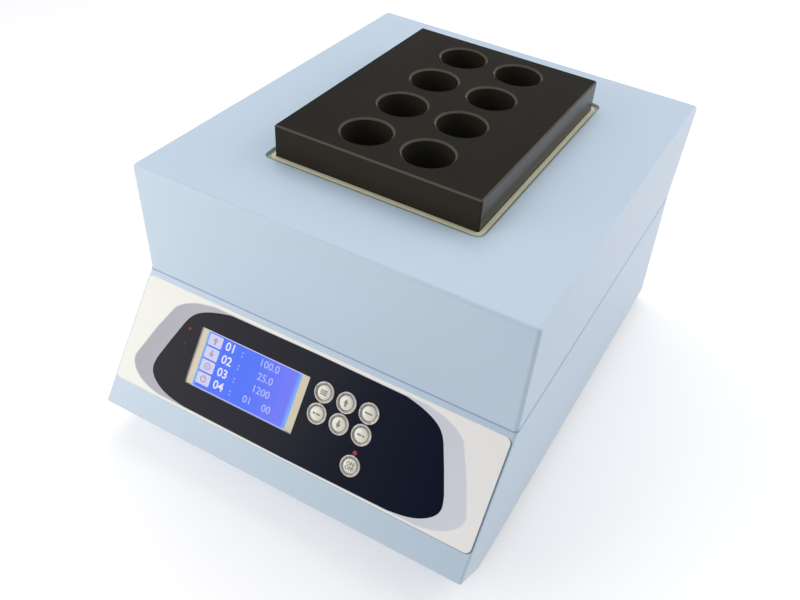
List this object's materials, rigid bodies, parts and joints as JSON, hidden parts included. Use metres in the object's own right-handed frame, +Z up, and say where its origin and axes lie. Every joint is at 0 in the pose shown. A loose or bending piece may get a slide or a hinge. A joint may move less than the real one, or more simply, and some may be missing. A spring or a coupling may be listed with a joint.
{
  "type": "magnetic stirrer hot plate",
  "caption": "Bench heating and stirring block: moulded casing with sloping control panel, and a lift-out aluminium block of vial wells over geared magnet rotors.",
  "frame": {"origin": "on the bench, under the middle of the instrument's bounding box", "axes": "+X to the right as seen from the control panel, +Y to the back, +Z up"},
  "size_m": [0.2434, 0.318, 0.185],
  "materials": {
    "casing": "fine satin, pale blue",
    "overlay": "printed film, white with dark field",
    "pane": "clear",
    "display_frame": "cream diffuser",
    "display": "lit blue",
    "key_cap": "domed, white",
    "key_ring": "bright",
    "led_red": "tinted",
    "led_green": "tinted, unlit",
    "block": "black anodised",
    "seal": "matt silicone",
    "tub": "drawn",
    "insulation": "felted",
    "plate": "milled",
    "steel": "plain",
    "cutout": "black",
    "board": "solder mask",
    "gear": "natural acetal",
    "magnet": "nickel plated",
    "motor": "black",
    "fan": "black",
    "inlet": "black",
    "contact": "plated",
    "rear_panel": "pale blue",
    "foot": "moulded"
  },
  "bodies": {
    "housing": {"base_shell": "casing", "top_cover": "casing", "case_screws": "steel", "feet": "foot", "block_seal": "seal", "chamber_tub": "tub", "insulation_sheet": "insulation", "insulation_jacket": "insulation", "overheat_cutout": "cutout", "heater_plate": "plate", "cartridge_heaters": "steel", "temperature_probe": "steel", "rotor_axles": "steel", "drive_plate": "plate", "module_posts": "steel", "motor_body": "motor", "panel_overlay": "overlay", "display_window": "pane", "display_module": "display_frame", "lcd_glass": "display", "key_rings": "key_ring", "heating_led": "led_red", "cooling_led": "led_green", "run_led": "led_red", "control_board": "board", "board_screws": "steel", "power_board": "board", "back_panel": "rear_panel", "panel_screws": "steel", "fan_frame": "fan", "inlet_body": "inlet", "inlet_pins": "contact"},
    "heating_block": {"heating_block": "block"},
    "rotor_1": {"stir_rotor_1": "gear", "rotor_magnets_1": "magnet"},
    "rotor_2": {"stir_rotor_2": "gear", "rotor_magnets_2": "magnet"},
    "rotor_3": {"stir_rotor_3": "gear", "rotor_magnets_3": "magnet"},
    "rotor_4": {"stir_rotor_4": "gear", "rotor_magnets_4": "magnet"},
    "rotor_5": {"stir_rotor_5": "gear", "rotor_magnets_5": "magnet"},
    "rotor_6": {"stir_rotor_6": "gear", "rotor_magnets_6": "magnet"},
    "rotor_7": {"stir_rotor_7": "gear", "rotor_magnets_7": "magnet"},
    "rotor_8": {"stir_rotor_8": "gear", "rotor_magnets_8": "magnet"},
    "motor_rotor": {"motor_pinion": "steel"},
    "fan_rotor": {"fan_rotor": "fan"},
    "key_1": {"key_1": "key_cap"},
    "key_2": {"key_2": "key_cap"},
    "key_3": {"key_3": "key_cap"},
    "key_4": {"key_4": "key_cap"},
    "key_5": {"key_5": "key_cap"},
    "key_6": {"key_6": "key_cap"},
    "key_7": {"key_7": "key_cap"},
    "fuse_drawer": {"fuse_drawer": "inlet"},
    "rocker": {"rocker_switch": "inlet"}
  },
  "joints": [
    {"name": "block_lift", "type": "slide", "parent": "housing", "child": "heating_block", "axis": [0, 0, 1], "range_m": [0, 0.08]},
    {"name": "rotor_spin_1", "type": "hinge", "parent": "housing", "child": "rotor_1", "pos_m": [-0.021, -0.03085, 0.0769], "axis": [0, 0, 1], "continuous": true},
    {"name": "rotor_spin_2", "type": "hinge", "parent": "housing", "child": "rotor_2", "pos_m": [0.018, -0.03085, 0.0769], "axis": [0, 0, 1], "continuous": true},
    {"name": "rotor_spin_3", "type": "hinge", "parent": "housing", "child": "rotor_3", "pos_m": [-0.021, 0.00815, 0.0769], "axis": [0, 0, 1], "continuous": true},
    {"name": "rotor_spin_4", "type": "hinge", "parent": "housing", "child": "rotor_4", "pos_m": [0.018, 0.00815, 0.0769], "axis": [0, 0, 1], "continuous": true},
    {"name": "rotor_spin_5", "type": "hinge", "parent": "housing", "child": "rotor_5", "pos_m": [-0.021, 0.04715, 0.0769], "axis": [0, 0, 1], "continuous": true},
    {"name": "rotor_spin_6", "type": "hinge", "parent": "housing", "child": "rotor_6", "pos_m": [0.018, 0.04715, 0.0769], "axis": [0, 0, 1], "continuous": true},
    {"name": "rotor_spin_7", "type": "hinge", "parent": "housing", "child": "rotor_7", "pos_m": [-0.021, 0.08615, 0.0769], "axis": [0, 0, 1], "continuous": true},
    {"name": "rotor_spin_8", "type": "hinge", "parent": "housing", "child": "rotor_8", "pos_m": [0.018, 0.08615, 0.0769], "axis": [0, 0, 1], "continuous": true},
    {"name": "motor_spin", "type": "hinge", "parent": "housing", "child": "motor_rotor", "pos_m": [-0.021, -0.06385, 0.0769], "axis": [0, 0, 1], "continuous": true},
    {"name": "fan_spin", "type": "hinge", "parent": "housing", "child": "fan_rotor", "pos_m": [-0.052, 0.14042, 0.05078], "axis": [0, 0.9996, 0.0286], "continuous": true},
    {"name": "key_press_1", "type": "slide", "parent": "housing", "child": "key_1", "axis": [0, 0.808, -0.5892], "range_m": [0, 0.0007], "stiffness_N_per_m": 1500},
    {"name": "key_press_2", "type": "slide", "parent": "housing", "child": "key_2", "axis": [0, 0.808, -0.5892], "range_m": [0, 0.0007], "stiffness_N_per_m": 1500},
    {"name": "key_press_3", "type": "slide", "parent": "housing", "child": "key_3", "axis": [0, 0.808, -0.5892], "range_m": [0, 0.0007], "stiffness_N_per_m": 1500},
    {"name": "key_press_4", "type": "slide", "parent": "housing", "child": "key_4", "axis": [0, 0.808, -0.5892], "range_m": [0, 0.0007], "stiffness_N_per_m": 1500},
    {"name": "key_press_5", "type": "slide", "parent": "housing", "child": "key_5", "axis": [0, 0.808, -0.5892], "range_m": [0, 0.0007], "stiffness_N_per_m": 1500},
    {"name": "key_press_6", "type": "slide", "parent": "housing", "child": "key_6", "axis": [0, 0.808, -0.5892], "range_m": [0, 0.0007], "stiffness_N_per_m": 1500},
    {"name": "key_press_7", "type": "slide", "parent": "housing", "child": "key_7", "axis": [0, 0.808, -0.5892], "range_m": [0, 0.0007], "stiffness_N_per_m": 1500},
    {"name": "fuse_drawer_slide", "type": "slide", "parent": "housing", "child": "fuse_drawer", "axis": [0, 0.9996, 0.0286], "range_m": [0, 0.018]},
    {"name": "rocker_tilt", "type": "hinge", "parent": "housing", "child": "rocker", "pos_m": [0.062, 0.15342, 0.06865], "axis": [-1, 0, 0], "range_deg": [0, 16]}
  ],
  "couplings": [
    {"joint": "rotor_spin_2", "follows": "rotor_spin_1", "ratio": -1},
    {"joint": "rotor_spin_3", "follows": "rotor_spin_1", "ratio": -1},
    {"joint": "rotor_spin_4", "follows": "rotor_spin_1", "ratio": 1},
    {"joint": "rotor_spin_5", "follows": "rotor_spin_1", "ratio": 1},
    {"joint": "rotor_spin_6", "follows": "rotor_spin_1", "ratio": -1},
    {"joint": "rotor_spin_7", "follows": "rotor_spin_1", "ratio": -1},
    {"joint": "rotor_spin_8", "follows": "rotor_spin_1", "ratio": 1},
    {"joint": "motor_spin", "follows": "rotor_spin_1", "ratio": -1.4444}
  ]
}
